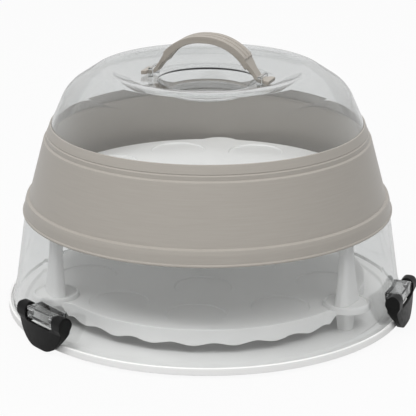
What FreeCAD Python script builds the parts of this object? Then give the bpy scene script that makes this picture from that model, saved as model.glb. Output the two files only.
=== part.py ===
import FreeCAD, Part
import math
import os

# Two-tier cake carrier with a collapsible lid, in millimetres.
# The origin is the centre of the base's underside, +Z is up and X runs along the carrying strap.

# Layout round the axis, in degrees and counts.
latch_count = 3
post_count = 3
insert_turn = -15.0
wave_count = 24
rib_count = 12

# Clearances and the overrun that every cut gets past the faces it crosses.
lid_clearance = 0.5
pivot_clearance = 0.06
side_clearance = 0.5
swing_clearance = 0.7
catch_clearance = 0.3
socket_clearance = 0.15
spigot_clearance = 0.05
bond_gap = 0.1
strap_clearance = 0.4
overrun = 5.0

# Base: a shallow dish with a turned-down rim and a seat for the lid.
base_radius = 190.0
base_wall = 2.4
base_floor_top = 6.0
lid_seat_height = 8.0
lid_seat_width = 13.0
rim_top = 10.0
rim_bottom = 3.2
edge_bevel = 0.8
foot_ring_inset = 34.0
hub_radius = 24.0
ring_width = 2.4
rib_width = 1.8
rib_lift = 1.4

# Lower clear wall of the lid, a cone with a flared foot that stands on the base's seat.
clear_wall = 2.2
lid_rim_height = 4.0
flare_width = 5.2
flare_height = 14.0
flare_round = 16.0
lid_rim_round = 6.0
wall_lean = 10.3
wall_top_height = 104.0

# Collapsible band: an upper strip, a folding wall and a lower strip.
band_wall = 2.2
strip_thickness = 1.2
upper_strip_lean = 5.1
band_top_height = 178.8
groove_height = 170.2
groove_depth = 0.6
groove_width = 1.6
upper_fold_height = 164.8
fold_lean = 17.0
lower_fold_height = 109.1
lower_fold_lean = 2.1
lower_strip_height = 105.8
lower_strip_lean = 2.1
band_foot_height = 95.5
fold_step = 0.7

# Clear dome: a sloping side, a round shoulder, a dished crown and a finger well.
dome_edge_height = 168.0
shoulder_share = 0.8025
shoulder_round_share = 0.408
shoulder_height = 211.0
crown_share = 0.369
crown_round_share = 0.28
crown_height = 233.4
dish_margin = 17.5
dish_height = 218.0
well_margin = 5.5
well_lean = 7.0
well_floor_height = 207.5

# Carrying strap: a ribbed arch on a thinner tongue that ends in two stops.
strap_rise = 37.6
strap_crown_half = 26.0
strap_arch_share = 0.95
strap_foot_half = 50.5
strap_foot_height = 222.4
strap_foot_round = 7.0
strap_tail = 12.0
strap_end_height = 221.2
strap_thickness = 6.4
tongue_thickness = 3.6
strap_width = 21.0
tongue_width = 13.0
grip_setback = 10.5
grip_taper = 6.0
stop_width = 20.0
stop_length = 5.5
rib_groove_width = 2.2
rib_groove_depth = 1.2
rib_groove_offset = 3.6

# Loops that hold the strap, moulded on the dome.
loop_setback = 0.5
loop_length = 4.6
loop_width = 20.0
loop_cover = 2.0
loop_round = 4.0

# Latches and the lugs that they hang on.
pivot_height = 31.5
arm_round = 7.0
pin_radius = 2.4
pin_length = 6.5
latch_width = 66.0
arm_width = 13.0
knuckle_relief = 7.6
notch_round = 3.0
latch_plate = 3.0
tongue_bottom = 0.9
tongue_round = 30.0
arm_top_round = 2.5
hook_thickness = 1.9
catch_reach = 2.5
side_relief_height = 13.0
cavity_top = 21.0
lug_half_height = 5.6
lug_front = 5.2
lug_edge_round = 2.0
lug_wall = 2.2

# Trays: a plate with shallow cup seats, a wavy skirt and an ear at each post.
ear_gap = 6.7
ear_overhang = 23.0
tray_plate = 2.4
tray_wall = 1.8
lower_tray_top = 29.6
upper_tray_top = 118.0
skirt_depth = 12.5
skirt_reach = 5.0
wave_height = 3.0
wave_round = 14.0
cup_seat_radius = 27.0
cup_seat_depth = 1.2
cup_pitch = 78.0
cup_edge = 36.0
inner_cup_share = 0.377
ear_radius = 21.5
ear_blend = 12.0
upper_ear_overhang = 7.0
ear_lip_height = 1.8
ear_lip_width = 1.6

# Posts between the tiers, with a spigot at each end, and the tray's feet and bosses for them.
post_foot_width = 26.0
post_foot_depth = 14.0
post_knee_width = 19.6
post_knee_depth = 11.5
post_knee_rise = 28.0
post_head_width = 17.0
post_head_depth = 10.0
post_side_share = 0.7
foot_spigot_radius = 4.6
foot_spigot_length = 8.0
head_spigot_radius = 3.6
head_spigot_length = 5.0
boss_radius = 6.2
tray_foot_top_width = 18.4
tray_foot_top_depth = 13.0
tray_foot_bottom_width = 13.4
tray_foot_bottom_depth = 10.6

# Sizes that follow from the ones above.
V = FreeCAD.Vector
ORIGIN = V(0, 0, 0)
UP = V(0, 0, 1)
rim_inner = base_radius - base_wall
seat_inner = rim_inner - lid_seat_width
floor_bottom = base_floor_top - base_wall
foot_ring_radius = base_radius - foot_ring_inset
lid_rim_radius = rim_inner - lid_clearance
lid_rim_top = lid_seat_height + lid_rim_height
wall_foot_radius = lid_rim_radius - flare_width
wall_foot_height = lid_rim_top + flare_height
band_foot_radius = wall_foot_radius - wall_lean + strip_thickness
wall_top_radius = wall_foot_radius - wall_lean * (
    (wall_top_height - wall_foot_height) / (band_foot_height - wall_foot_height))
lower_strip_radius = band_foot_radius - lower_strip_lean
lower_fold_radius = lower_strip_radius - lower_fold_lean
upper_fold_radius = lower_fold_radius - fold_lean
band_top_radius = upper_fold_radius - upper_strip_lean
strip_slope = upper_strip_lean / (band_top_height - upper_fold_height)
dome_foot_radius = band_top_radius - strip_thickness
dome_edge_radius = dome_foot_radius + strip_slope * (band_top_height - dome_edge_height)
dish_radius = strap_foot_half + dish_margin
dome_span = band_top_radius - dish_radius
shoulder_radius = dish_radius + shoulder_share * dome_span
crown_radius = dish_radius + crown_share * dome_span
well_radius = strap_foot_half - well_margin
strap_end_half = strap_foot_half + strap_tail
strap_crown_height = strap_foot_height + strap_rise
strap_level = strap_crown_height - strap_thickness / 2
strap_turn = math.atan2(strap_level - strap_foot_height, strap_foot_half - strap_crown_half)
strap_crown_round = strap_arch_share * strap_crown_half / math.tan(strap_turn / 2)
grip_half_length = strap_foot_half - grip_setback
pivot_radius = base_radius
latch_front = pivot_radius + arm_round
notch_height = pivot_height - knuckle_relief
latch_gap = latch_width - 2 * arm_width
lug_width = latch_gap - 2 * side_clearance
lower_ear_reach = wall_foot_radius - clear_wall - ear_gap
tray_radius = lower_ear_reach - ear_overhang
upper_ear_reach = tray_radius + upper_ear_overhang
outer_cup_circle = tray_radius - cup_edge
inner_cup_circle = inner_cup_share * outer_cup_circle
post_circle = tray_radius
lower_plate_bottom = lower_tray_top - tray_plate
upper_plate_bottom = upper_tray_top - tray_plate
post_bottom = lower_tray_top
post_top = upper_tray_top - skirt_depth - wave_height


def across(radius, height):
    """A point of an upright section, at a radius and a height."""
    return V(radius, 0, height)


def facing(width, height):
    """A point of a front view, across the latch."""
    return V(0, width, height)


def flat(along, aside):
    """A point of a plan view."""
    return V(along, aside, 0)


def corner_of(corners, index):
    """One corner as its place and its rounding."""
    corner = corners[index % len(corners)]
    rounding = corner[2] if len(corner) > 2 else 0
    return V(corner[0], corner[1], 0), rounding


def rounded_corner(before, here, after, rounding):
    """Start, middle and end of the arc that rounds a corner."""
    back = (before - here).normalize()
    ahead = (after - here).normalize()
    half_angle = back.getAngle(ahead) / 2
    tangent = rounding / math.tan(half_angle)
    inward = (back + ahead).normalize()
    centre = here + inward * (rounding / math.sin(half_angle))
    return here + back * tangent, centre - inward * rounding, here + ahead * tangent


def outline(corners, place, closed=True):
    """A wire through corners (across, up) or (across, up, rounding), set in a plane by place."""
    edges = []
    last = None
    first = None
    count = len(corners)
    for index in range(count):
        here, rounding = corner_of(corners, index)
        entry = leave = here
        if rounding:
            before = corner_of(corners, index - 1)[0]
            after = corner_of(corners, index + 1)[0]
            entry, middle, leave = rounded_corner(before, here, after, rounding)
        entry = place(entry.x, entry.y)
        if last is not None:
            edges.append(Part.LineSegment(last, entry).toShape())
        first = first or entry
        last = place(leave.x, leave.y)
        if rounding:
            edges.append(Part.Arc(entry, place(middle.x, middle.y), last).toShape())
    if closed:
        edges.append(Part.LineSegment(last, first).toShape())
    return Part.Wire(edges)


def turned(corners):
    """A solid of revolution from a closed section."""
    return Part.Face(outline(corners, across)).revolve(ORIGIN, UP, 360)


def drawn(corners, place, start, length):
    """A prism from a closed outline, moved to its start and drawn along its length."""
    face = Part.Face(outline(corners, place))
    face.translate(start)
    return face.extrude(length)


def spun(shape, angle):
    """A copy of a shape, turned about the axis of the carrier."""
    copy = shape.copy()
    copy.rotate(ORIGIN, UP, angle)
    return copy


def around(shape, count, turn=0):
    """Evenly spaced copies of a shape round the axis."""
    return [spun(shape, turn + 360 * index / count) for index in range(count)]


def save(shape, node):
    """Write one piece."""
    shape.removeSplitter().exportStep("parts/" + node + ".step")


def make_base():
    """The dish, its lid seat, the turned-down rim and the hub, ribs and foot ring under the floor."""
    seat_bottom = lid_seat_height - base_wall
    dish = turned([
        (0, base_floor_top),
        (seat_inner - base_wall, base_floor_top),
        (seat_inner, lid_seat_height),
        (rim_inner, lid_seat_height),
        (rim_inner, rim_top - edge_bevel),
        (rim_inner + edge_bevel, rim_top),
        (base_radius - edge_bevel, rim_top),
        (base_radius, rim_top - edge_bevel),
        (base_radius, rim_bottom),
        (rim_inner, rim_bottom),
        (rim_inner, seat_bottom),
        (seat_inner, seat_bottom),
        (seat_inner - base_wall, floor_bottom),
        (0, floor_bottom),
    ])
    into_floor = floor_bottom + base_wall / 2
    hub = Part.makeCylinder(hub_radius, into_floor)
    ring = turned([
        (foot_ring_radius - ring_width, 0),
        (foot_ring_radius, 0),
        (foot_ring_radius, into_floor),
        (foot_ring_radius - ring_width, into_floor),
    ])
    rib = Part.makeBox(
        foot_ring_radius - ring_width / 2 - hub_radius / 2,
        rib_width,
        into_floor - rib_lift,
        V(hub_radius / 2, -rib_width / 2, rib_lift))
    return dish.fuse([hub, ring] + around(rib, rib_count))


def make_lug():
    """One box-shaped lug on the lid wall, cored from below, with a blind pivot hole in each side."""
    lug = drawn([
        (wall_top_radius, pivot_height - lug_half_height),
        (pivot_radius + lug_front, pivot_height - lug_half_height, lug_edge_round),
        (pivot_radius + lug_front, pivot_height + lug_half_height, lug_edge_round),
        (wall_top_radius, pivot_height + lug_half_height),
    ], across, V(0, -lug_width / 2, 0), V(0, lug_width, 0))
    for side in (-1, 1):
        lug = lug.cut(Part.makeCylinder(
            pin_radius + pivot_clearance,
            pin_length + 2 * side_clearance,
            V(pivot_radius, side * lug_width / 2, pivot_height),
            V(0, -side, 0)))
    core_half = lug_width / 2 - pin_length - 2 * side_clearance - lug_wall
    core = Part.makeBox(
        pivot_radius + lug_front - lug_wall - wall_top_radius,
        2 * core_half,
        2 * lug_half_height - lug_wall + overrun,
        V(wall_top_radius, -core_half, pivot_height - lug_half_height - overrun))
    return lug.cut(core)


def make_lid_wall():
    """The clear lower wall with its flared foot and the lugs for the latches."""
    profile = outline([
        (lid_rim_radius, lid_seat_height),
        (lid_rim_radius, lid_rim_top, lid_rim_round),
        (wall_foot_radius, wall_foot_height, flare_round),
        (wall_top_radius, wall_top_height),
    ], across, closed=False)
    wall = profile.makeOffset2D(clear_wall, 2, True, True).revolve(ORIGIN, UP, 360)
    middle = clear_wall / 2
    room = turned([
        (0, lid_rim_top),
        (lid_rim_radius - middle, lid_rim_top),
        (wall_foot_radius - middle, wall_foot_height),
        (wall_top_radius - middle, wall_top_height),
        (0, wall_top_height),
    ])
    lugs = [lug.cut(room) for lug in around(make_lug(), latch_count)]
    return wall.fuse(lugs)


def make_band():
    """The soft band: two strips bonded to the clear parts, and the folding wall between them."""
    groove_radius = band_top_radius + strip_slope * (band_top_height - groove_height)
    groove_rise = groove_width / 2 * strip_slope
    wall_foot_outer = band_foot_radius - strip_thickness + bond_gap
    return turned([
        (dome_foot_radius + bond_gap, band_top_height),
        (band_top_radius, band_top_height),
        (groove_radius - groove_rise, groove_height + groove_width / 2),
        (groove_radius - groove_depth, groove_height),
        (groove_radius + groove_rise, groove_height - groove_width / 2),
        (upper_fold_radius, upper_fold_height),
        (upper_fold_radius - fold_step, upper_fold_height - fold_step),
        (lower_fold_radius - fold_step, lower_fold_height + fold_step),
        (lower_fold_radius, lower_fold_height),
        (lower_strip_radius, lower_strip_height),
        (band_foot_radius, band_foot_height),
        (wall_foot_outer, band_foot_height),
        (wall_top_radius + bond_gap, wall_top_height + bond_gap),
        (wall_top_radius - clear_wall, wall_top_height + bond_gap),
        (lower_fold_radius - band_wall, lower_fold_height),
        (upper_fold_radius - band_wall, upper_fold_height),
        (dome_edge_radius - clear_wall, dome_edge_height - bond_gap),
        (dome_edge_radius + bond_gap, dome_edge_height - bond_gap),
    ])


def strap_strip(low, high, width):
    """The strap between two depths from its middle line, as wide as given and centred."""
    line = outline([
        (-strap_end_half, strap_end_height),
        (-strap_foot_half, strap_foot_height, strap_foot_round),
        (-strap_crown_half, strap_level, strap_crown_round),
        (strap_crown_half, strap_level, strap_crown_round),
        (strap_foot_half, strap_foot_height, strap_foot_round),
        (strap_end_half, strap_end_height),
    ], across, closed=False)
    edge = line.makeOffset2D(low, 0, False, True)
    strip = edge.makeOffset2D(high - low, 0, True, True)
    strip.translate(V(0, -width / 2, 0))
    return strip.extrude(V(0, width, 0))


def make_strap():
    """The carrying strap: a grip with two grooves along its top, two narrow tongues and two stops."""
    half_grip = strap_width / 2
    half_tongue = tongue_width / 2
    half_stop = stop_width / 2
    taper_end = grip_half_length + grip_taper
    stop_start = strap_end_half - stop_length
    side = [
        (taper_end, half_tongue, grip_taper / 2),
        (stop_start, half_tongue),
        (stop_start, half_stop, stop_length / 3),
        (strap_end_half + overrun, half_stop),
    ]
    quarter = [(grip_half_length, half_grip, grip_taper)] + side
    far = [(-along, aside, *rest) for along, aside, *rest in reversed(quarter)]
    near = [(along, -aside, *rest) for along, aside, *rest in reversed(quarter)]
    corner = [(-along, -aside, *rest) for along, aside, *rest in quarter]
    plan = drawn(far + quarter + near + corner, flat, V(0, 0, 0), V(0, 0, strap_crown_height + overrun))
    core = strap_strip(-tongue_thickness / 2, tongue_thickness / 2, stop_width + strap_width)
    grip = strap_strip(-strap_thickness / 2, strap_thickness / 2, stop_width + strap_width)
    grip_room = Part.makeBox(
        2 * grip_half_length, 2 * strap_width, 2 * strap_crown_height,
        V(-grip_half_length, -strap_width, 0))
    strap = core.fuse(grip.common(grip_room)).common(plan)
    groove = strap_strip(strap_thickness / 2 - rib_groove_depth, strap_thickness, rib_groove_width)
    for aside in (-rib_groove_offset, rib_groove_offset):
        cut = groove.copy()
        cut.translate(V(0, aside, 0))
        strap = strap.cut(cut)
    return strap


def make_dome():
    """The clear dome with its finger well and the two loops for the strap."""
    profile = outline([
        (dome_edge_radius, dome_edge_height),
        (dome_foot_radius, band_top_height),
        (shoulder_radius, shoulder_height, shoulder_round_share * dome_span),
        (crown_radius, crown_height, crown_round_share * dome_span),
        (dish_radius, dish_height),
        (well_radius, dish_height),
        (well_radius - well_lean, well_floor_height),
        (0, well_floor_height),
    ], across, closed=False)
    shell = profile.makeOffset2D(clear_wall, 2, True, True).revolve(ORIGIN, UP, 360)
    shell = shell.cut(Part.makeCylinder(base_radius, dome_edge_height))
    loop_top = strap_foot_height + tongue_thickness / 2 + strap_clearance + loop_cover
    loop = drawn([
        (-loop_width / 2, dish_height - clear_wall / 2),
        (-loop_width / 2, loop_top, loop_round),
        (loop_width / 2, loop_top, loop_round),
        (loop_width / 2, dish_height - clear_wall / 2),
    ], facing, V(strap_foot_half + loop_setback, 0, 0), V(loop_length, 0, 0))
    slot = strap_strip(
        -tongue_thickness / 2 - strap_clearance,
        tongue_thickness / 2 + strap_clearance,
        tongue_width + 2 * strap_clearance)
    return shell.fuse([loop.cut(slot) for loop in around(loop, 2)])


def make_latch():
    """One latch, closed but not snapped: two arms with pivot pins, a cored tongue and its catch."""
    depth = V(2 * arm_round, 0, 0)
    start = V(pivot_radius - arm_round, 0, 0)
    half_width = latch_width / 2
    half_gap = latch_gap / 2
    arm_top = pivot_height + arm_round
    front = drawn([
        (-half_width, arm_top, arm_top_round),
        (-half_gap, arm_top, arm_top_round),
        (-half_gap, notch_height, notch_round),
        (half_gap, notch_height, notch_round),
        (half_gap, arm_top, arm_top_round),
        (half_width, arm_top, arm_top_round),
        (half_width, tongue_bottom, tongue_round),
        (-half_width, tongue_bottom, tongue_round),
    ], facing, start, depth)
    catch_tip = base_radius + catch_clearance
    side_back = catch_tip + catch_reach
    hook_top = tongue_bottom + hook_thickness
    side = drawn([
        (latch_front, pivot_height),
        (latch_front, tongue_bottom, hook_thickness),
        (catch_tip, tongue_bottom),
        (catch_tip, hook_top),
        (side_back, hook_top),
        (side_back, side_relief_height),
        (pivot_radius - arm_round, pivot_height),
    ], across, V(0, -half_width, 0), V(0, latch_width, 0))
    barrel = Part.makeCylinder(
        arm_round, latch_width, V(pivot_radius, -half_width, pivot_height), V(0, 1, 0))
    body = front.common(side.fuse(barrel))
    core_half = half_width - latch_plate
    core_depth = V(latch_front - latch_plate - start.x + overrun, 0, 0)
    core_start = start - V(overrun, 0, 0)
    core = drawn([
        (-core_half, arm_top),
        (core_half, arm_top),
        (core_half, hook_top, tongue_round - latch_plate),
        (-core_half, hook_top, tongue_round - latch_plate),
    ], facing, core_start, core_depth)
    below_arms = Part.makeBox(core_depth.x, latch_width, cavity_top, core_start - V(0, half_width, 0))
    behind_notch = Part.makeBox(
        core_depth.x, latch_gap, notch_height, V(core_start.x, -half_gap, cavity_top - overrun))
    round_knuckle = Part.makeCylinder(
        knuckle_relief, latch_gap, V(pivot_radius, -half_gap, pivot_height), V(0, 1, 0))
    core = core.common(below_arms).fuse([behind_notch, round_knuckle])
    body = body.cut(core)
    pins = [
        Part.makeCylinder(
            pin_radius, pin_length + arm_width / 2,
            V(pivot_radius, side * (half_gap + arm_width / 2), pivot_height), V(0, -side, 0))
        for side in (-1, 1)
    ]
    return body.fuse(pins)


def scallops(top):
    """The cuts that leave a tray skirt's lower edge wavy, one rounded crest each."""
    half_wave = math.pi * tray_radius / wave_count
    crest = top - skirt_depth
    trough = crest - wave_height
    cut = drawn([
        (-half_wave, trough),
        (-half_wave / 2, trough, wave_round),
        (0, crest + wave_height, wave_round),
        (half_wave / 2, trough, wave_round),
        (half_wave, trough),
        (half_wave, trough - overrun),
        (-half_wave, trough - overrun),
    ], facing, V(tray_radius / 2, 0, 0), V(tray_radius, 0, 0))
    return around(cut, wave_count)


def cup_seats(circle, top):
    """Cutters for the cup seats on one circle, as many as its length holds, clear of the ears."""
    seat = Part.makeCylinder(cup_seat_radius, tray_plate, V(circle, 0, top - cup_seat_depth))
    count = int(2 * math.pi * circle / cup_pitch)
    return around(seat, count, 180 / count)


def tray_plan(ear_reach):
    """A tray's outline: the round plate, run into its ears by soft hollows."""
    disc = Part.Face(Part.Wire(Part.makeCircle(tray_radius)))
    ear = Part.Face(Part.Wire(Part.makeCircle(ear_radius, V(ear_reach - ear_radius, 0, 0))))
    plan = disc.fuse(around(ear, post_count)).removeSplitter().Faces[0]
    return plan.makeOffset2D(ear_blend).makeOffset2D(-ear_blend)


def make_tray(top, ear_reach):
    """A tray: plate, ears that take the posts, cup seats and a wavy skirt, open in front of each ear."""
    bottom = top - tray_plate
    skirt_low = top - skirt_depth - wave_height
    plan = tray_plan(ear_reach)
    plan.translate(V(0, 0, bottom))
    plate = plan.extrude(V(0, 0, tray_plate))
    plate = plate.makeChamfer(edge_bevel, [edge for edge in plate.Edges if edge.BoundBox.ZMin > bottom])
    skirt = plan.cut(plan.makeOffset2D(-tray_wall)).extrude(V(0, 0, skirt_low - bottom))
    ear_front = turned([
        (tray_radius + skirt_reach, skirt_low - overrun),
        (ear_reach + overrun, skirt_low - overrun),
        (ear_reach + overrun, bottom),
        (tray_radius + skirt_reach, bottom),
    ])
    tray = plate.fuse(skirt.cut(scallops(top) + [ear_front]))
    return tray.cut(cup_seats(outer_cup_circle, top) + cup_seats(inner_cup_circle, top))


def make_lower_tray():
    """The lower tray, with a raised ring on each ear and tapered feet that hold the posts' spigots."""
    tray = make_tray(lower_tray_top, lower_ear_reach)
    ear_centre = lower_ear_reach - ear_radius
    lip_radius = ear_radius - edge_bevel
    lip = Part.makeCylinder(lip_radius, ear_lip_height, V(ear_centre, 0, lower_tray_top))
    lip = lip.cut(Part.makeCylinder(
        lip_radius - ear_lip_width, ear_lip_height, V(ear_centre, 0, lower_tray_top)))
    foot = Part.makeLoft([
        post_section(tray_foot_bottom_width, tray_foot_bottom_depth, base_floor_top),
        post_section(tray_foot_top_width, tray_foot_top_depth, lower_plate_bottom),
    ], True)
    tray = tray.fuse(around(lip, post_count) + around(foot, post_count))
    socket = Part.makeCylinder(
        foot_spigot_radius + socket_clearance, foot_spigot_length + socket_clearance + overrun,
        V(post_circle, 0, lower_tray_top - foot_spigot_length - socket_clearance))
    return spun(tray.cut(around(socket, post_count)), insert_turn)


def make_upper_tray():
    """The upper tray, with a boss under each ear for the post's head."""
    tray = make_tray(upper_tray_top, upper_ear_reach)
    boss = Part.makeCylinder(
        boss_radius, upper_plate_bottom - post_top + tray_plate / 2, V(post_circle, 0, post_top))
    tray = tray.fuse(around(boss, post_count))
    socket = Part.makeCylinder(
        head_spigot_radius + spigot_clearance, head_spigot_length + spigot_clearance + overrun,
        V(post_circle, 0, post_top - overrun))
    return spun(tray.cut(around(socket, post_count)), insert_turn)


def post_section(width, depth, height):
    """A post's section at a height: flat inwards and rounded outwards."""
    back = post_circle - depth / 2
    side_end = back + post_side_share * depth
    front = post_circle + depth / 2
    corners = [
        V(side_end, width / 2, height),
        V(back, width / 2, height),
        V(back, -width / 2, height),
        V(side_end, -width / 2, height),
    ]
    arc = Part.Arc(corners[-1], V(front, 0, height), corners[0])
    return Part.Wire(Part.makePolygon(corners).Edges + [arc.toShape()])


def make_post():
    """A post that flares to its foot, with a spigot at each end."""
    body = Part.makeLoft([
        post_section(post_foot_width, post_foot_depth, post_bottom),
        post_section(post_knee_width, post_knee_depth, post_bottom + post_knee_rise),
        post_section(post_head_width, post_head_depth, post_top),
    ], True)
    foot = Part.makeCylinder(
        foot_spigot_radius, foot_spigot_length, V(post_circle, 0, post_bottom - foot_spigot_length))
    head = Part.makeCylinder(head_spigot_radius, head_spigot_length, V(post_circle, 0, post_top))
    return body.fuse([foot, head])


os.makedirs("parts", exist_ok=True)
save(make_base(), "base")
save(make_lid_wall(), "lid_wall")
save(make_band(), "collapsible_band")
save(make_dome(), "dome")
save(make_strap(), "handle_strap")
save(make_lower_tray(), "lower_tray")
save(make_upper_tray(), "upper_tray")
for number, latch in enumerate(around(make_latch(), latch_count), 1):
    save(latch, f"latch_{number}")
for number, post in enumerate(around(make_post(), post_count, insert_turn), 1):
    save(post, f"post_{number}")
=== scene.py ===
import math

import bmesh
import bpy
from mathutils import Matrix, Vector


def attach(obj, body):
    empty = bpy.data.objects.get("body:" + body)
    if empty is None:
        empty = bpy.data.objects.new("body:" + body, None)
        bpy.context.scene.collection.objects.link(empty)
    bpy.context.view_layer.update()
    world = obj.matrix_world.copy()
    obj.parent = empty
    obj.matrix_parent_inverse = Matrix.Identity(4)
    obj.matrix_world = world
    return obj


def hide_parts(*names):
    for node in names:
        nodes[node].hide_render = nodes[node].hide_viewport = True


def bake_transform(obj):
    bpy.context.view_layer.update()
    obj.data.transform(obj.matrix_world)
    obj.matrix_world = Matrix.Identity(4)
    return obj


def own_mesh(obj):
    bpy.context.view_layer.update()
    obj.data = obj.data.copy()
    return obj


# Looks of a tiered cake carrier, in metres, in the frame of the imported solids:
# +Z up, the axis of the carrier at x = y = 0 and the carrying strap along X.
# Sizes are in millimetres and turns in degrees; the studio's places and sizes are in metres.
# An outline's rows are radius, height and reach of the rounding there.
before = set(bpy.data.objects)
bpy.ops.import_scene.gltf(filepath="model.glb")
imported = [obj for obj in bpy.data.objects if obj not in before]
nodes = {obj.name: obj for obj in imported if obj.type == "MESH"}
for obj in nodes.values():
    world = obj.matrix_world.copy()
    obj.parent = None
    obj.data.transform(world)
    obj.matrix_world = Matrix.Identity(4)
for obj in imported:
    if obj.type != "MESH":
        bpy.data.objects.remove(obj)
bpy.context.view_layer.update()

MM = 0.001
ROUND_STEPS = 240          # steps of a full turn on the large round pieces
SMALL_STEPS = 64           # steps of a full turn on seats, ears and holes
ARC_STEPS = 5              # steps of a rounding in an outline
EDGE_STEPS = 3             # steps of a rounded edge
MERGE_WITHIN = 0.001       # points of a spun shape that are nearer than this are one
SHARP_FROM = 30.0          # turn between two faces from which their edge stays sharp
NOISE_SPAN = {"From Min": 0.3, "From Max": 0.7}    # what most of a noise lies between

# Clear wall of the lid and its dome.
TRAPPED_AFTER = 6.0        # bounces after which light caught inside the clear plastic is let out
CLEAR_WALL = 2.2
CLEAR_ARC_STEPS = 14
WALL_OUTLINE = (
    (185.9, 8.05, 0.0),
    (185.9, 12.0, 1.8),
    (181.9, 26.0, 4.0),
    (170.34, 104.0, 0.0),
)
WALL_ROOM = (              # the room inside the middle of the wall, which the lugs stay out of
    (0.0, 12.0, 0.0),
    (184.8, 12.0, 0.0),
    (180.8, 26.0, 0.0),
    (169.24, 104.0, 0.0),
    (0.0, 104.0, 0.0),
)
DOME_OUTLINE = (
    (149.23, 168.0, 0.0),
    (145.3, 178.8, 3.0),
    (131.0, 211.0, 8.6),
    (96.97, 233.4, 10.5),
    (68.0, 218.0, 4.0),
    (45.0, 218.0, 1.6),
    (38.0, 207.5, 1.8),
    (0.0, 207.5, 0.0),
)

# Clear lugs that the latches hang on, with a blind pivot hole in each side.
LUG_WIDTH = 39.0
LUG_BACK = 174.0
LUG_FRONT = 195.2
LUG_LOW = 25.9
LUG_HIGH = 37.1
LUG_EDGE = 1.4
PIVOT_RADIUS = 190.0
PIVOT_HEIGHT = 31.5
PIVOT_HOLE = 2.46
PIVOT_DEPTH = 7.5

# Clear loops on the dome, with the slot that the strap passes through.
LOOP_TURNS = (0.0, 180.0)
LOOP_NEAR = 51.0           # from the axis
LOOP_LENGTH = 4.6
LOOP_WIDTH = 20.0
LOOP_FOOT = 217.0
LOOP_TOP = 226.6
LOOP_EDGE = 1.3
SLOT_WIDTH = 13.8
SLOT_LOW = 217.5           # just inside the dome's wall, so that the loop stands on two legs
SLOT_HIGH = 224.6

# Soft band between wall and dome.
BAND_OUTLINE = (
    (145.4, 178.8, 0.0),
    (146.5, 178.8, 0.5),
    (149.2, 171.0, 0.3),
    (148.9, 170.2, 0.2),
    (150.2, 169.4, 0.4),
    (150.7, 165.6, 0.2),
    (152.7, 164.6, 0.5),
    (167.4, 110.4, 0.2),
    (170.2, 109.6, 0.5),
    (171.5, 105.4, 1.2),
    (172.7, 97.8, 0.3),
    (173.9, 97.2, 0.4),
    (173.9, 95.5, 0.5),
    (171.7, 95.5, 0.0),
    (170.44, 104.1, 0.0),
    (168.14, 104.1, 0.0),
    (166.2, 109.1, 0.8),
    (149.2, 164.8, 0.8),
    (147.03, 167.9, 0.0),
    (149.3, 167.9, 0.0),
)
BAND_ARC_STEPS = 3
BAND_SHARP_FROM = 50.0
FOLD_ROWS = 15             # rows between the folds

# White base.
BASE_OUTLINE = (
    (0.0, 6.0, 0.0),
    (172.2, 6.0, 1.0),
    (174.6, 8.0, 1.0),
    (186.0, 8.0, 0.3),
    (186.2, 6.7, 0.3),
    (187.6, 6.7, 0.3),
    (187.6, 10.0, 0.5),
    (190.0, 10.0, 0.8),
    (190.0, 3.2, 0.5),
    (187.6, 3.2, 0.4),
    (187.6, 5.6, 0.6),
    (174.6, 5.6, 0.8),
    (172.2, 3.6, 0.8),
    (156.0, 3.6, 0.4),
    (156.0, 0.0, 0.5),
    (153.6, 0.0, 0.5),
    (153.6, 3.6, 0.4),
    (24.0, 3.6, 0.4),
    (24.0, 0.0, 0.5),
    (0.0, 0.0, 0.0),
)
BASE_ARC_STEPS = 3
WHITE_SHARP_FROM = 35.0    # on the base and the trays
RIB_COUNT = 12
RIB_WIDTH = 1.8
RIB_LIFT = 1.4             # lower edge of the ribs
RIB_FROM = 23.0
RIB_TO = 154.5
RIB_TOP = 4.6

# Trays, with their heights counted from the top of the plate.
TRAY_TOP = {"lower_tray": 29.6, "upper_tray": 118.0}
EAR_CENTRE = {"lower_tray": 153.5, "upper_tray": 135.5}
TRAY_STEPS = 720
TRAY_ARC_STEPS = 4
TRAY_RADIUS = 150.0
TRAY_PLATE = 2.4
SKIRT_DEPTH = 15.5
SKIRT_INSIDE = 147.0       # points nearer to the axis than this stay as spun
SKIRT_REST = 0.3           # what is left of the skirt in front of an ear
SKIRT_FADE = 1.2           # the turn over which it fades there
TRAY_OUTLINE = (
    (0.0, 0.0, 0.0),
    (TRAY_RADIUS, 0.0, 0.9),
    (TRAY_RADIUS, -SKIRT_DEPTH, 0.5),
    (148.2, -SKIRT_DEPTH, 0.5),
    (148.2, -TRAY_PLATE, 1.0),
    (0.0, -TRAY_PLATE, 0.0),
)
WAVE_PITCH = 14.3          # turn from one wave to the next, with a low point midway between two ears
WAVE_HEIGHT = 3.0
EAR_TURNS = (-15.0, 105.0, 225.0)
EAR_SPACING = 120.0
EAR_RADIUS = 21.5
EAR_HOLLOW = 12.0          # radius of the hollow that runs the plate into an ear
EAR_FLOOR = 2.2            # rise of a lower ear's floor, which the post stands on
PLAIN_EAR = (
    (0.0, 0.15, 0.0),
    (EAR_RADIUS, 0.15, 0.8),
    (EAR_RADIUS, -3.0, 0.7),
    (0.0, -3.0, 0.0),
)
RINGED_EAR = (
    (0.0, EAR_FLOOR, 0.0),
    (18.2, EAR_FLOOR, 0.5),
    (18.8, 3.9, 0.7),
    (20.7, 3.9, 0.9),
    (EAR_RADIUS, 1.6, 0.9),
    (EAR_RADIUS, -3.0, 0.7),
    (0.0, -3.0, 0.0),
)
SEAT_OUTLINE = (
    (0.0, -1.2, 0.0),
    (26.4, -1.2, 0.5),
    (27.2, -0.2, 0.3),
    (29.0, 1.6, 0.0),
    (0.0, 1.6, 0.0),
)
SEAT_RINGS = ((114.0, 9, 5.0), (43.0, 3, 45.0))    # circle, seats on it, turn of the first
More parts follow.
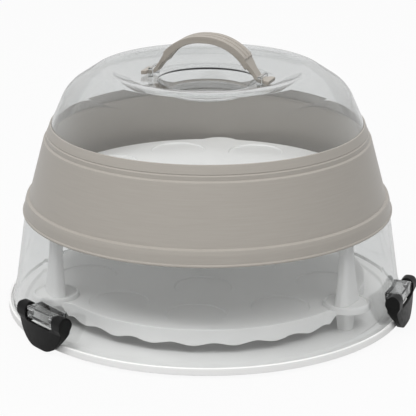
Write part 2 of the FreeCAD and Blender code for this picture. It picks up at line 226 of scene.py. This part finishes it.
POST_CIRCLE = 154.0        # feet of the posts and of the lower tray
HEAD_CIRCLE = 151.0        # heads of the posts, which lean in with the lid's wall
FOOT_BOTTOM = (13.4, 10.6, -23.6)                  # width, depth, height
FOOT_TOP = (18.4, 13.0, -2.0)
FOOT_FRONT_ROUND = 4.6
FOOT_FRONT_STEPS = 6
FOOT_SOCKET = (4.75, -8.15, 4.0)                   # radius, from, to
HEAD_BOSS = (6.2, -15.5, -1.2)
HEAD_SOCKET = (3.65, -17.0, -10.45)

# Posts: a rounded section that spreads towards the foot, with a spigot at each end.
POSTS = ("post_1", "post_2", "post_3")
POST_GAP = 0.1             # between a post and the floor of its ear
POST_LOW = TRAY_TOP["lower_tray"] + EAR_FLOOR + POST_GAP
POST_HIGH = 102.4
POST_HEAD = (9.0, 14.0)                            # depth, width
POST_FOOT = (13.5, 32.0)
POST_ROUND = 3.6
POST_ROUND_STEPS = 6
POST_EDGE = 0.5
POST_EDGE_STEPS = 2
POST_ROWS = 24
FLARE_FROM = 100.0         # height from which a post spreads downwards
FOOT_SPIGOT = (4.6, 21.7, 34.0)                    # radius, from, to
HEAD_SPIGOT = (3.5, 100.0, 107.4)

# Latches: their tongues follow the round of the rim below their arms.
LATCHES = ("latch_1", "latch_2", "latch_3")
LATCH_TURNS = (0.0, 120.0, 240.0)
LATCH_FACES_SHARE = 0.25
TONGUE_ROUND = 197.0
TONGUE_TOP = 27.5
TONGUE_FADE = 5.0          # height over which the bend sets in

# Strap.
STRAP_FACES_SHARE = 0.3

# Softening of the latches and the strap, whose meshes come from their solids.
SOLID_MERGE_WITHIN = 0.004
SOFT_GRID = 0.4
SOFT_FACTOR = 0.5
SOFT_PASSES = 5
SOFT_SHARP_FROM = 60.0

# Studio: white surroundings, three soft lamps and the camera.
FLOOR_RADIUS = 12.0
FLOOR_STEPS = 96
FLOOR_GLOW_SHARE = 0.93    # plain white of the floor where it is seen, the rest keeps the shadow
SKY_LEVEL = 0.46           # even light on the carrier
MIRRORED_SHARE = 0.4       # of the white surroundings in gloss, which draws the edges of the clear plastic
LAMP_SIZE = 1.2
LAMP_AIM = (0.0, 0.0, 0.12)
LAMPS = (                  # name, place, watts
    ("key", (-0.6, -1.0, 2.0), 28.0),
    ("fill", (1.0, -1.0, 1.9), 23.0),
    ("back", (-0.2, 1.4, 1.8), 19.0),
)
CAMERA_PLACE = (0.5204, -1.4298, 0.5916)
CAMERA_TILT = 71.84
CAMERA_TURN = 20.0
CAMERA_SENSOR = 36.0
CAMERA_LENS = 146.23
CAMERA_SHIFT = 0.0012


def linear(code):
    """A colour as written, sRGB in hex, turned to linear light."""
    parts = [int(code[place:place + 2], 16) / 255 for place in (1, 3, 5)]
    return [part / 12.92 if part <= 0.04045 else ((part + 0.055) / 1.055) ** 2.4 for part in parts] + [1]


def add(tree, kind, settings=None, values=None, links=None):
    """Adds a shader node with its settings, its plain values and its links, and returns its outputs."""
    made = tree.nodes.new(kind)
    for name, value in (settings or {}).items():
        setattr(made, name, value)
    for name, value in (values or {}).items():
        made.inputs[name].default_value = value
    for name, source in (links or {}).items():
        tree.links.new(source, made.inputs[name])
    return made.outputs


def new_material(name):
    """An empty node material and its tree."""
    made = bpy.data.materials.new(name)
    made.use_nodes = True
    made.node_tree.nodes.clear()
    return made, made.node_tree


def grain(tree, size, detail=3.0, stretch=(1, 1, 1)):
    """A pattern whose features measure size millimetres, on the piece's own coordinates."""
    place = add(tree, "ShaderNodeTexCoord")["Object"]
    scaled = add(tree, "ShaderNodeMapping", values={"Scale": stretch}, links={"Vector": place})["Vector"]
    return add(tree, "ShaderNodeTexNoise", values={"Scale": 1 / (size * MM), "Detail": detail},
               links={"Vector": scaled})["Fac"]


def clear_styrene():
    """Clear moulded styrene acrylonitrile: polished, a little grey in its thickness, faintly wavy."""
    made, tree = new_material("clear_moulded_styrene")
    wavy = add(tree, "ShaderNodeBump", values={"Strength": 1.0, "Distance": 0.0015 * MM},
               links={"Height": grain(tree, size=30.0, detail=1.0)})
    polish = add(tree, "ShaderNodeMapRange", values={**NOISE_SPAN, "To Min": 0.0, "To Max": 0.012},
                 links={"Value": grain(tree, size=14.0)})
    wall = add(tree, "ShaderNodeBsdfPrincipled",
               values={"Base Color": linear("#EEEFEF"), "IOR": 1.57, "Transmission Weight": 1.0},
               links={"Roughness": polish["Result"], "Normal": wavy["Normal"]})
    # Light for the pieces inside goes straight through, and so does light that the wall has trapped.
    path = add(tree, "ShaderNodeLightPath")
    lighting = add(tree, "ShaderNodeMath", {"operation": "MAXIMUM"},
                   links={0: path["Is Shadow Ray"], 1: path["Is Diffuse Ray"]})
    trapped = add(tree, "ShaderNodeMath", {"operation": "GREATER_THAN"}, {1: TRAPPED_AFTER},
                  {0: path["Ray Depth"]})
    straight = add(tree, "ShaderNodeMath", {"operation": "MAXIMUM"},
                   links={0: lighting["Value"], 1: trapped["Value"]})
    passing = add(tree, "ShaderNodeBsdfTransparent", values={"Color": linear("#FFFFFF")})
    mixed = add(tree, "ShaderNodeMixShader",
                links={"Fac": straight["Value"], 1: wall["BSDF"], 2: passing["BSDF"]})
    grey = add(tree, "ShaderNodeVolumeAbsorption", values={"Color": linear("#9EA1A1"), "Density": 45.0})
    add(tree, "ShaderNodeOutputMaterial", links={"Surface": mixed["Shader"], "Volume": grey["Volume"]})
    return made


def white_polypropylene():
    """White moulded polypropylene: satin, faintly mottled, with the grain of a spark-eroded mould."""
    made, tree = new_material("white_moulded_polypropylene")
    # That grain is about 0.1 mm wide and is drawn at 1.2 mm, so that it shows.
    grained = add(tree, "ShaderNodeBump", values={"Strength": 1.0, "Distance": 0.02 * MM},
                  links={"Height": grain(tree, size=1.2, detail=2.0)})
    mottle = add(tree, "ShaderNodeMapRange", values=NOISE_SPAN, links={"Value": grain(tree, size=45.0)})
    colour = add(tree, "ShaderNodeMix", {"data_type": "RGBA"},
                 {"A": linear("#EEEEED"), "B": linear("#F3F3F2")}, {"Factor": mottle["Result"]})
    satin = add(tree, "ShaderNodeMapRange", values={**NOISE_SPAN, "To Min": 0.34, "To Max": 0.46},
                links={"Value": grain(tree, size=9.0)})
    shader = add(tree, "ShaderNodeBsdfPrincipled", values={"IOR": 1.49},
                 links={"Base Color": colour["Result"], "Roughness": satin["Result"],
                        "Normal": grained["Normal"]})
    add(tree, "ShaderNodeOutputMaterial", links={"Surface": shader["BSDF"]})
    return made


def soft_elastomer(name, dark, light, smoothest, roughest):
    """Moulded thermoplastic elastomer: even taupe grey, silky, with fine tool marks drawn round it."""
    made, tree = new_material(name)
    marks = grain(tree, size=30.0, detail=5.0, stretch=(1, 1, 24))
    tooled = add(tree, "ShaderNodeBump", values={"Strength": 1.0, "Distance": 0.04 * MM},
                 links={"Height": marks})
    # The grain of the mould is about 0.1 mm wide and is drawn at 0.9 mm, so that it shows.
    grained = add(tree, "ShaderNodeBump", values={"Strength": 1.0, "Distance": 0.012 * MM},
                  links={"Height": grain(tree, size=0.9, detail=2.0), "Normal": tooled["Normal"]})
    drawn = add(tree, "ShaderNodeMapRange", values=NOISE_SPAN, links={"Value": marks})
    colour = add(tree, "ShaderNodeMix", {"data_type": "RGBA"},
                 {"A": linear(dark), "B": linear(light)}, {"Factor": drawn["Result"]})
    silk = add(tree, "ShaderNodeMapRange", values={**NOISE_SPAN, "To Min": smoothest, "To Max": roughest},
               links={"Value": marks})
    shader = add(tree, "ShaderNodeBsdfPrincipled",
                 values={"IOR": 1.5, "Sheen Weight": 0.12, "Sheen Roughness": 0.4},
                 links={"Base Color": colour["Result"], "Roughness": silk["Result"],
                        "Normal": grained["Normal"]})
    add(tree, "ShaderNodeOutputMaterial", links={"Surface": shader["BSDF"]})
    return made


def black_abs():
    """Black moulded ABS: fine satin, with a soft orange-peel in its reflections."""
    made, tree = new_material("black_moulded_abs")
    peel = add(tree, "ShaderNodeBump", values={"Strength": 1.0, "Distance": 0.02 * MM},
               links={"Height": grain(tree, size=3.5, detail=2.0)})
    mottle = add(tree, "ShaderNodeMapRange", values=NOISE_SPAN, links={"Value": grain(tree, size=6.0)})
    colour = add(tree, "ShaderNodeMix", {"data_type": "RGBA"},
                 {"A": linear("#0D0D0D"), "B": linear("#121212")}, {"Factor": mottle["Result"]})
    satin = add(tree, "ShaderNodeMapRange", values={**NOISE_SPAN, "To Min": 0.34, "To Max": 0.48},
                links={"Value": grain(tree, size=5.0)})
    shader = add(tree, "ShaderNodeBsdfPrincipled", values={"IOR": 1.5, "Specular IOR Level": 0.16},
                 links={"Base Color": colour["Result"], "Roughness": satin["Result"],
                        "Normal": peel["Normal"]})
    add(tree, "ShaderNodeOutputMaterial", links={"Surface": shader["BSDF"]})
    return made


def piece_from(bm, name):
    """A linked object from a bmesh."""
    mesh = bpy.data.meshes.new(name)
    bm.to_mesh(mesh)
    bm.free()
    made = bpy.data.objects.new(name, mesh)
    bpy.context.scene.collection.objects.link(made)
    return made


def taken_back(piece):
    """The bmesh of a piece, which is removed."""
    bm = bmesh.new()
    bm.from_mesh(piece.data)
    bpy.data.objects.remove(piece)
    return bm


def modifier(piece, kind, **settings):
    """Adds a modifier with its settings."""
    made = piece.modifiers.new(kind.lower(), kind)
    for name, value in settings.items():
        setattr(made, name, value)


def applied(piece):
    """Makes the modifiers part of the mesh."""
    scene_state = bpy.context.evaluated_depsgraph_get()
    scene_state.update()
    mesh = bpy.data.meshes.new_from_object(piece.evaluated_get(scene_state))
    piece.modifiers.clear()
    piece.data = mesh
    return piece


def finished(piece, sharp_from=SHARP_FROM):
    """Applies what is left, shades smooth up to an angle and keeps the flat faces flat."""
    applied(piece)
    piece.data.shade_smooth()
    piece.data.set_sharp_from_angle(angle=math.radians(sharp_from))
    modifier(piece, "WEIGHTED_NORMAL", keep_sharp=True)
    return applied(piece)


def spun(outline, closed=False, arc_steps=ARC_STEPS, rows=0, steps=ROUND_STEPS):
    """A bmesh turned about the axis from an outline, with rows cut into its longest lines."""
    bm = bmesh.new()
    points = [bm.verts.new((radius * MM, 0, height * MM)) for radius, height, _ in outline]
    pairs = list(zip(points, points[1:]))
    if closed:
        pairs.append((points[-1], points[0]))
    for pair in pairs:
        bm.edges.new(pair)
    for point, (_, _, reach) in zip(points, outline):
        if reach:
            bmesh.ops.bevel(bm, geom=[point], offset=reach * MM, offset_type="OFFSET", affect="VERTICES",
                            segments=arc_steps, profile=0.5, material=-1)
    if rows:
        longest = max(line.calc_length() for line in bm.edges)
        long_lines = [line for line in bm.edges if line.calc_length() > longest / 2]
        bmesh.ops.subdivide_edges(bm, edges=long_lines, cuts=rows)
    bmesh.ops.spin(bm, geom=bm.verts[:] + bm.edges[:], cent=(0, 0, 0), axis=(0, 0, 1),
                   angle=2 * math.pi, steps=steps, use_merge=True)
    bmesh.ops.remove_doubles(bm, verts=bm.verts, dist=MERGE_WITHIN * MM)
    bmesh.ops.recalc_face_normals(bm, faces=bm.faces)
    return bm


def box(bm, low, high):
    """Adds a box between two corners to a bmesh."""
    middle = [(a + b) / 2 * MM for a, b in zip(low, high)]
    size = [(b - a) * MM for a, b in zip(low, high)]
    bmesh.ops.create_cube(bm, size=1, matrix=Matrix.Translation(middle) @ Matrix.Diagonal(size).to_4x4())


def rounded(bm, width, edges, segments=EDGE_STEPS):
    """Rounds some edges of a bmesh."""
    bmesh.ops.bevel(bm, geom=edges, offset=width * MM, offset_type="OFFSET", affect="EDGES",
                    segments=segments, profile=0.5, material=-1)


def rounded_box(low, high, width):
    """A box with all its edges rounded."""
    bm = bmesh.new()
    box(bm, low, high)
    rounded(bm, width, bm.edges[:])
    return bm


def rod(radius, low, high):
    """An upright round rod on the axis."""
    return spun(((0, low, 0), (radius, low, 0), (radius, high, 0), (0, high, 0)), steps=SMALL_STEPS)


def placed(bm, out=0.0, up=0.0, turn=0.0):
    """Moves a bmesh out and up, and turns it about the axis."""
    bmesh.ops.translate(bm, verts=bm.verts, vec=(out * MM, 0, up * MM))
    bmesh.ops.rotate(bm, verts=bm.verts, cent=(0, 0, 0), matrix=Matrix.Rotation(math.radians(turn), 3, "Z"))
    return bm


def gathered(shapes):
    """Several bmeshes as one."""
    whole = bmesh.new()
    for shape in shapes:
        mesh = bpy.data.meshes.new("shape")
        shape.to_mesh(mesh)
        shape.free()
        whole.from_mesh(mesh)
        bpy.data.meshes.remove(mesh)
    return whole


def combined(piece, operation, bm):
    """Fuses a bmesh to a piece, or cuts it out."""
    tool = piece_from(bm, "tool")
    modifier(piece, "BOOLEAN", operation=operation, object=tool, solver="MANIFOLD")
    applied(piece)
    bpy.data.objects.remove(tool)


def dress(piece, material, body, node):
    """Gives a piece its finish and its body, if it has only one, and hides the solid it stands for."""
    piece.data.materials.clear()
    piece.data.materials.append(material)
    if body:
        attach(piece, body)
    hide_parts(node)


def softened_copy(node, name):
    """A copy of a solid's mesh with its edges softened as a mould leaves them."""
    bm = bmesh.new()
    bm.from_mesh(nodes[node].data)
    bmesh.ops.remove_doubles(bm, verts=bm.verts, dist=SOLID_MERGE_WITHIN * MM)
    piece = piece_from(bm, name)
    modifier(piece, "REMESH", mode="VOXEL", voxel_size=SOFT_GRID * MM)
    modifier(piece, "SMOOTH", factor=SOFT_FACTOR, iterations=SOFT_PASSES)
    return applied(piece)


def thinned(piece, kept_share):
    """Finishes a softened copy with fewer faces."""
    modifier(piece, "DECIMATE", ratio=kept_share)
    return finished(piece, SOFT_SHARP_FROM)


def clear_shell(outline, name):
    """A spun wall of the clear plastic, with its thickness inwards."""
    piece = piece_from(spun(outline, arc_steps=CLEAR_ARC_STEPS), name)
    modifier(piece, "SOLIDIFY", thickness=CLEAR_WALL * MM, offset=-1, use_even_offset=True)
    return applied(piece)


def make_lug(turn):
    """One clear box-shaped lug, with a pivot hole in each side."""
    half = LUG_WIDTH / 2
    lug = piece_from(rounded_box((LUG_BACK, -half, LUG_LOW), (LUG_FRONT, half, LUG_HIGH), LUG_EDGE), "lug")
    for side in (-1, 1):
        hole = rod(PIVOT_HOLE, half - PIVOT_DEPTH, half + PIVOT_DEPTH)
        bmesh.ops.rotate(hole, verts=hole.verts, cent=(0, 0, 0),
                         matrix=Matrix.Rotation(-side * math.pi / 2, 3, "X"))
        combined(lug, "DIFFERENCE", placed(hole, PIVOT_RADIUS, PIVOT_HEIGHT))
    combined(lug, "DIFFERENCE", spun(WALL_ROOM))
    return placed(taken_back(lug), turn=turn)


def make_loop(turn):
    """One clear loop on the dome, with the slot that the strap passes through."""
    far = LOOP_NEAR + LOOP_LENGTH
    loop = piece_from(rounded_box((LOOP_NEAR, -LOOP_WIDTH / 2, LOOP_FOOT), (far, LOOP_WIDTH / 2, LOOP_TOP),
                                  LOOP_EDGE), "loop")
    slot = rounded_box((LOOP_NEAR - LOOP_LENGTH, -SLOT_WIDTH / 2, SLOT_LOW),
                       (far + LOOP_LENGTH, SLOT_WIDTH / 2, SLOT_HIGH), LOOP_EDGE / 2)
    combined(loop, "DIFFERENCE", slot)
    return placed(taken_back(loop), turn=turn)


def make_lid_wall(material):
    """The clear wall with its flared foot and its lugs."""
    piece = clear_shell(WALL_OUTLINE, "clear_lid_wall")
    for turn in LATCH_TURNS:
        combined(piece, "UNION", make_lug(turn))
    dress(finished(piece), material, "lid_wall", "lid_wall")


def make_dome(material):
    """The clear dome with its dished crown, its finger well and its loops."""
    piece = clear_shell(DOME_OUTLINE, "clear_dome")
    for turn in LOOP_TURNS:
        combined(piece, "UNION", make_loop(turn))
    dress(finished(piece), material, "dome", "dome")


def make_band(material):
    """The soft band, with rows enough between its folds to turn inside out from dome to wall."""
    bm = spun(BAND_OUTLINE, closed=True, arc_steps=BAND_ARC_STEPS, rows=FOLD_ROWS)
    piece = piece_from(bm, "folding_band")
    dress(finished(piece, BAND_SHARP_FROM), material, None, "collapsible_band")
    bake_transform(piece)


def make_strap(material):
    """The carrying strap, softened from its solid, on the handle's body and with a mesh of its own."""
    piece = thinned(softened_copy("handle_strap", "carrying_strap"), STRAP_FACES_SHARE)
    dress(piece, material, "handle", "handle_strap")
    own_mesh(piece)


def make_base(material):
    """The white base with its seat for the lid, and the hub, ribs and foot ring under its floor."""
    piece = piece_from(spun(BASE_OUTLINE, arc_steps=BASE_ARC_STEPS), "white_base")
    ribs = []
    for index in range(RIB_COUNT):
        rib = bmesh.new()
        box(rib, (RIB_FROM, -RIB_WIDTH / 2, RIB_LIFT), (RIB_TO, RIB_WIDTH / 2, RIB_TOP))
        ribs.append(placed(rib, turn=360 * index / RIB_COUNT))
    combined(piece, "UNION", gathered(ribs))
    dress(finished(piece, WHITE_SHARP_FROM), material, "base", "base")


def ear_push(turn, ear_centre):
    """How far a tray's edge moves out at a turn from an ear, and the turn where the ear itself begins."""
    far = TRAY_RADIUS + EAR_HOLLOW
    reach = EAR_RADIUS + EAR_HOLLOW
    along = (far ** 2 - reach ** 2 + ear_centre ** 2) / (2 * ear_centre)
    aside = math.sqrt(far ** 2 - along ** 2)
    touch_share = EAR_RADIUS / reach
    touch = (ear_centre + (along - ear_centre) * touch_share, aside * touch_share)
    starts = math.atan2(aside, along)
    ends = math.atan2(touch[1], touch[0])
    if turn >= starts:
        return 0.0, ends
    swing = starts - max(turn, ends)
    hollow = math.sqrt(EAR_HOLLOW ** 2 - (far * math.sin(swing)) ** 2)
    return far * math.cos(swing) - hollow - TRAY_RADIUS, ends


def shape_rim(bm, ear_centre):
    """Draws a tray's edge out to its ears, waves its skirt's lower edge and opens it before each ear."""
    opened = SKIRT_DEPTH - TRAY_PLATE - SKIRT_REST
    for point in bm.verts:
        radius = math.hypot(point.co.x, point.co.y) / MM
        if radius < SKIRT_INSIDE:
            continue
        angle = math.atan2(point.co.y, point.co.x)
        off = min(abs(math.remainder(angle - math.radians(turn), 2 * math.pi)) for turn in EAR_TURNS)
        push, ear_side = ear_push(off, ear_centre)
        below = max(0.0, (-point.co.z / MM - TRAY_PLATE) / (SKIRT_DEPTH - TRAY_PLATE))
        kept = min(1.0, max(0.0, math.degrees(off - ear_side) / SKIRT_FADE))
        midway = math.remainder(math.degrees(angle) - EAR_TURNS[0] - EAR_SPACING / 2, EAR_SPACING)
        wave = WAVE_HEIGHT / 2 * (1 - math.cos(2 * math.pi * midway / WAVE_PITCH))
        point.co.x *= 1 + push / radius
        point.co.y *= 1 + push / radius
        point.co.z += below * (kept * wave + (1 - kept) * opened) * MM


def make_foot(turn):
    """One tapered foot of the lower tray, flat inwards and rounded outwards."""
    bm = bmesh.new()
    bmesh.ops.create_cube(bm, size=2)
    for point in bm.verts:
        width, depth, height = FOOT_TOP if point.co.z > 0 else FOOT_BOTTOM
        point.co = (point.co.x * depth / 2 * MM, point.co.y * width / 2 * MM, height * MM)
    front = [edge for edge in bm.edges if all(end.co.x > 0 for end in edge.verts)
             and edge.verts[0].co.y * edge.verts[1].co.y > 0]
    rounded(bm, FOOT_FRONT_ROUND, front, FOOT_FRONT_STEPS)
    return placed(bm, POST_CIRCLE, turn=turn)


def make_tray(node, name, body, material):
    """A tray: plate, wavy skirt, ears and cup seats, and its feet or the bosses for the posts."""
    rim = spun(TRAY_OUTLINE, arc_steps=TRAY_ARC_STEPS, steps=TRAY_STEPS)
    shape_rim(rim, EAR_CENTRE[node])
    piece = piece_from(rim, name)
    lower = node == "lower_tray"
    ear = RINGED_EAR if lower else PLAIN_EAR
    combined(piece, "UNION", gathered(
        placed(spun(ear, steps=SMALL_STEPS), EAR_CENTRE[node], turn=turn) for turn in EAR_TURNS))
    combined(piece, "UNION", gathered(
        make_foot(turn) if lower else placed(rod(*HEAD_BOSS), HEAD_CIRCLE, turn=turn) for turn in EAR_TURNS))
    socket, post_end = (FOOT_SOCKET, POST_CIRCLE) if lower else (HEAD_SOCKET, HEAD_CIRCLE)
    combined(piece, "DIFFERENCE", gathered(
        placed(rod(*socket), post_end, turn=turn) for turn in EAR_TURNS))
    combined(piece, "DIFFERENCE", gathered(
        placed(spun(SEAT_OUTLINE, steps=SMALL_STEPS), circle, turn=first + 360 * index / count)
        for circle, count, first in SEAT_RINGS for index in range(count)))
    piece.data.transform(Matrix.Translation((0, 0, TRAY_TOP[node] * MM)))
    dress(finished(piece, WHITE_SHARP_FROM), material, body, node)


def uprights(bm):
    """The edges of a post's blank that run up from its lower end to its upper one."""
    return [edge for edge in bm.edges if abs(edge.verts[0].co.z - edge.verts[1].co.z) > POST_EDGE * MM]


def make_post(name, turn):
    """One post: rounded in section, leaning in, spreading towards its foot, with a spigot at each end."""
    depth, width = POST_HEAD
    foot_depth, foot_width = POST_FOOT
    bm = bmesh.new()
    box(bm, (-depth / 2, -width / 2, POST_LOW), (depth / 2, width / 2, POST_HIGH))
    rounded(bm, POST_ROUND, uprights(bm), POST_ROUND_STEPS)
    bmesh.ops.subdivide_edges(bm, edges=uprights(bm), cuts=POST_ROWS)
    for point in bm.verts:
        down = (POST_HIGH - point.co.z / MM) / (POST_HIGH - POST_LOW)
        flare = max(0.0, (FLARE_FROM - point.co.z / MM) / (FLARE_FROM - POST_LOW)) ** 2
        point.co.x *= 1 + flare * (foot_depth / depth - 1)
        point.co.y *= 1 + flare * (foot_width / width - 1)
        point.co.x += (HEAD_CIRCLE + down * (POST_CIRCLE - HEAD_CIRCLE)) * MM
    # The two ends are the only faces with more than four corners.
    rims = [edge for edge in bm.edges if len(edge.link_faces) == 2
            and any(len(face.verts) > 4 for face in edge.link_faces)]
    rounded(bm, POST_EDGE, rims, POST_EDGE_STEPS)
    piece = piece_from(bm, name)
    combined(piece, "UNION", gathered((placed(rod(*FOOT_SPIGOT), POST_CIRCLE),
                                       placed(rod(*HEAD_SPIGOT), HEAD_CIRCLE))))
    piece.data.transform(Matrix.Rotation(math.radians(turn), 4, "Z"))
    return finished(piece)


def make_posts(material):
    """The posts that carry the upper tray."""
    for node, turn in zip(POSTS, EAR_TURNS):
        dress(make_post("tier_" + node, turn), material, "upper_tier", node)


def bend_tongue(mesh, turn):
    """Bends a latch's tongue to the round of the rim that it closes on, and leaves its arms as they are."""
    out = Vector((math.cos(turn), math.sin(turn), 0))
    aside = Vector((-out.y, out.x, 0))
    rounding = TONGUE_ROUND * MM
    for point in mesh.vertices:
        share = min(1.0, max(0.0, (TONGUE_TOP - point.co.z / MM) / TONGUE_FADE))
        point.co -= out * share * (rounding - math.sqrt(rounding ** 2 - point.co.dot(aside) ** 2))


def make_latches(material):
    """The latches, each on its own body."""
    for node, turn in zip(LATCHES, LATCH_TURNS):
        piece = softened_copy(node, "side_" + node)
        bend_tongue(piece.data, math.radians(turn))
        dress(thinned(piece, LATCH_FACES_SHARE), material, node, node)


def seen_directly(tree):
    """1 for what the camera sees, straight or through clear plastic, and less for what gloss mirrors."""
    path = add(tree, "ShaderNodeLightPath")
    mirrored = add(tree, "ShaderNodeMath", {"operation": "MULTIPLY"}, {1: MIRRORED_SHARE},
                   {0: path["Is Glossy Ray"]})
    either = add(tree, "ShaderNodeMath", {"operation": "MAXIMUM"},
                 links={0: path["Is Camera Ray"], 1: mirrored["Value"]})
    return add(tree, "ShaderNodeMath", {"operation": "MAXIMUM"},
               links={0: either["Value"], 1: path["Is Transmission Ray"]})["Value"]


def make_floor():
    """A plain white floor that keeps a soft shadow."""
    bm = bmesh.new()
    bmesh.ops.create_circle(bm, cap_ends=True, radius=FLOOR_RADIUS, segments=FLOOR_STEPS)
    floor = piece_from(bm, "floor")
    made, tree = new_material("white_paper")
    matt = add(tree, "ShaderNodeBsdfDiffuse", values={"Color": linear("#B4B4B4")})
    glow = add(tree, "ShaderNodeEmission", values={"Color": linear("#FFFFFF"), "Strength": 1.0})
    share = add(tree, "ShaderNodeMath", {"operation": "MULTIPLY"}, {1: FLOOR_GLOW_SHARE},
                {0: seen_directly(tree)})
    mixed = add(tree, "ShaderNodeMixShader",
                links={"Fac": share["Value"], 1: matt["BSDF"], 2: glow["Emission"]})
    add(tree, "ShaderNodeOutputMaterial", links={"Surface": mixed["Shader"]})
    floor.data.materials.append(made)


def make_world():
    """Even light from all round, and white where it is seen."""
    world = bpy.data.worlds.new("studio")
    bpy.context.scene.world = world
    world.use_nodes = True
    tree = world.node_tree
    tree.nodes.clear()
    level = add(tree, "ShaderNodeMapRange", values={"To Min": SKY_LEVEL, "To Max": 1.0},
                links={"Value": seen_directly(tree)})
    sky = add(tree, "ShaderNodeBackground", values={"Color": linear("#FFFFFF")},
              links={"Strength": level["Result"]})
    add(tree, "ShaderNodeOutputWorld", links={"Surface": sky["Background"]})


def make_lamp(name, place, power):
    """A soft square lamp aimed at the middle of the carrier, which itself isn't seen in gloss or glass."""
    lamp = bpy.data.lights.new(name, "AREA")
    lamp.shape = "SQUARE"
    lamp.size = LAMP_SIZE
    lamp.energy = power
    made = bpy.data.objects.new(name, lamp)
    made.location = place
    made.rotation_euler = (Vector(LAMP_AIM) - Vector(place)).to_track_quat("-Z", "Y").to_euler()
    made.visible_glossy = False
    made.visible_transmission = False
    bpy.context.scene.collection.objects.link(made)


def make_camera():
    """The photograph's view: from the front, a little above, twenty degrees round from the strap's side."""
    camera = bpy.data.cameras.new("camera")
    camera.sensor_width = CAMERA_SENSOR
    camera.lens = CAMERA_LENS
    camera.shift_x = CAMERA_SHIFT
    made = bpy.data.objects.new("camera", camera)
    made.location = CAMERA_PLACE
    made.rotation_euler = (math.radians(CAMERA_TILT), 0, math.radians(CAMERA_TURN))
    bpy.context.scene.collection.objects.link(made)
    bpy.context.scene.camera = made


bpy.context.scene.view_settings.view_transform = "Standard"
make_camera()
make_floor()
make_world()
for lamp in LAMPS:
    make_lamp(*lamp)

clear = clear_styrene()
white = white_polypropylene()
make_base(white)
make_tray("lower_tray", "cup_tray_lower", "lower_tray", white)
make_tray("upper_tray", "cup_tray_upper", "upper_tier", white)
make_posts(white)
make_latches(black_abs())
make_lid_wall(clear)
make_dome(clear)
make_band(soft_elastomer("taupe_elastomer", "#9B968F", "#9F9A93", 0.36, 0.46))
make_strap(soft_elastomer("brown_grey_elastomer", "#958F87", "#9B958D", 0.42, 0.54))
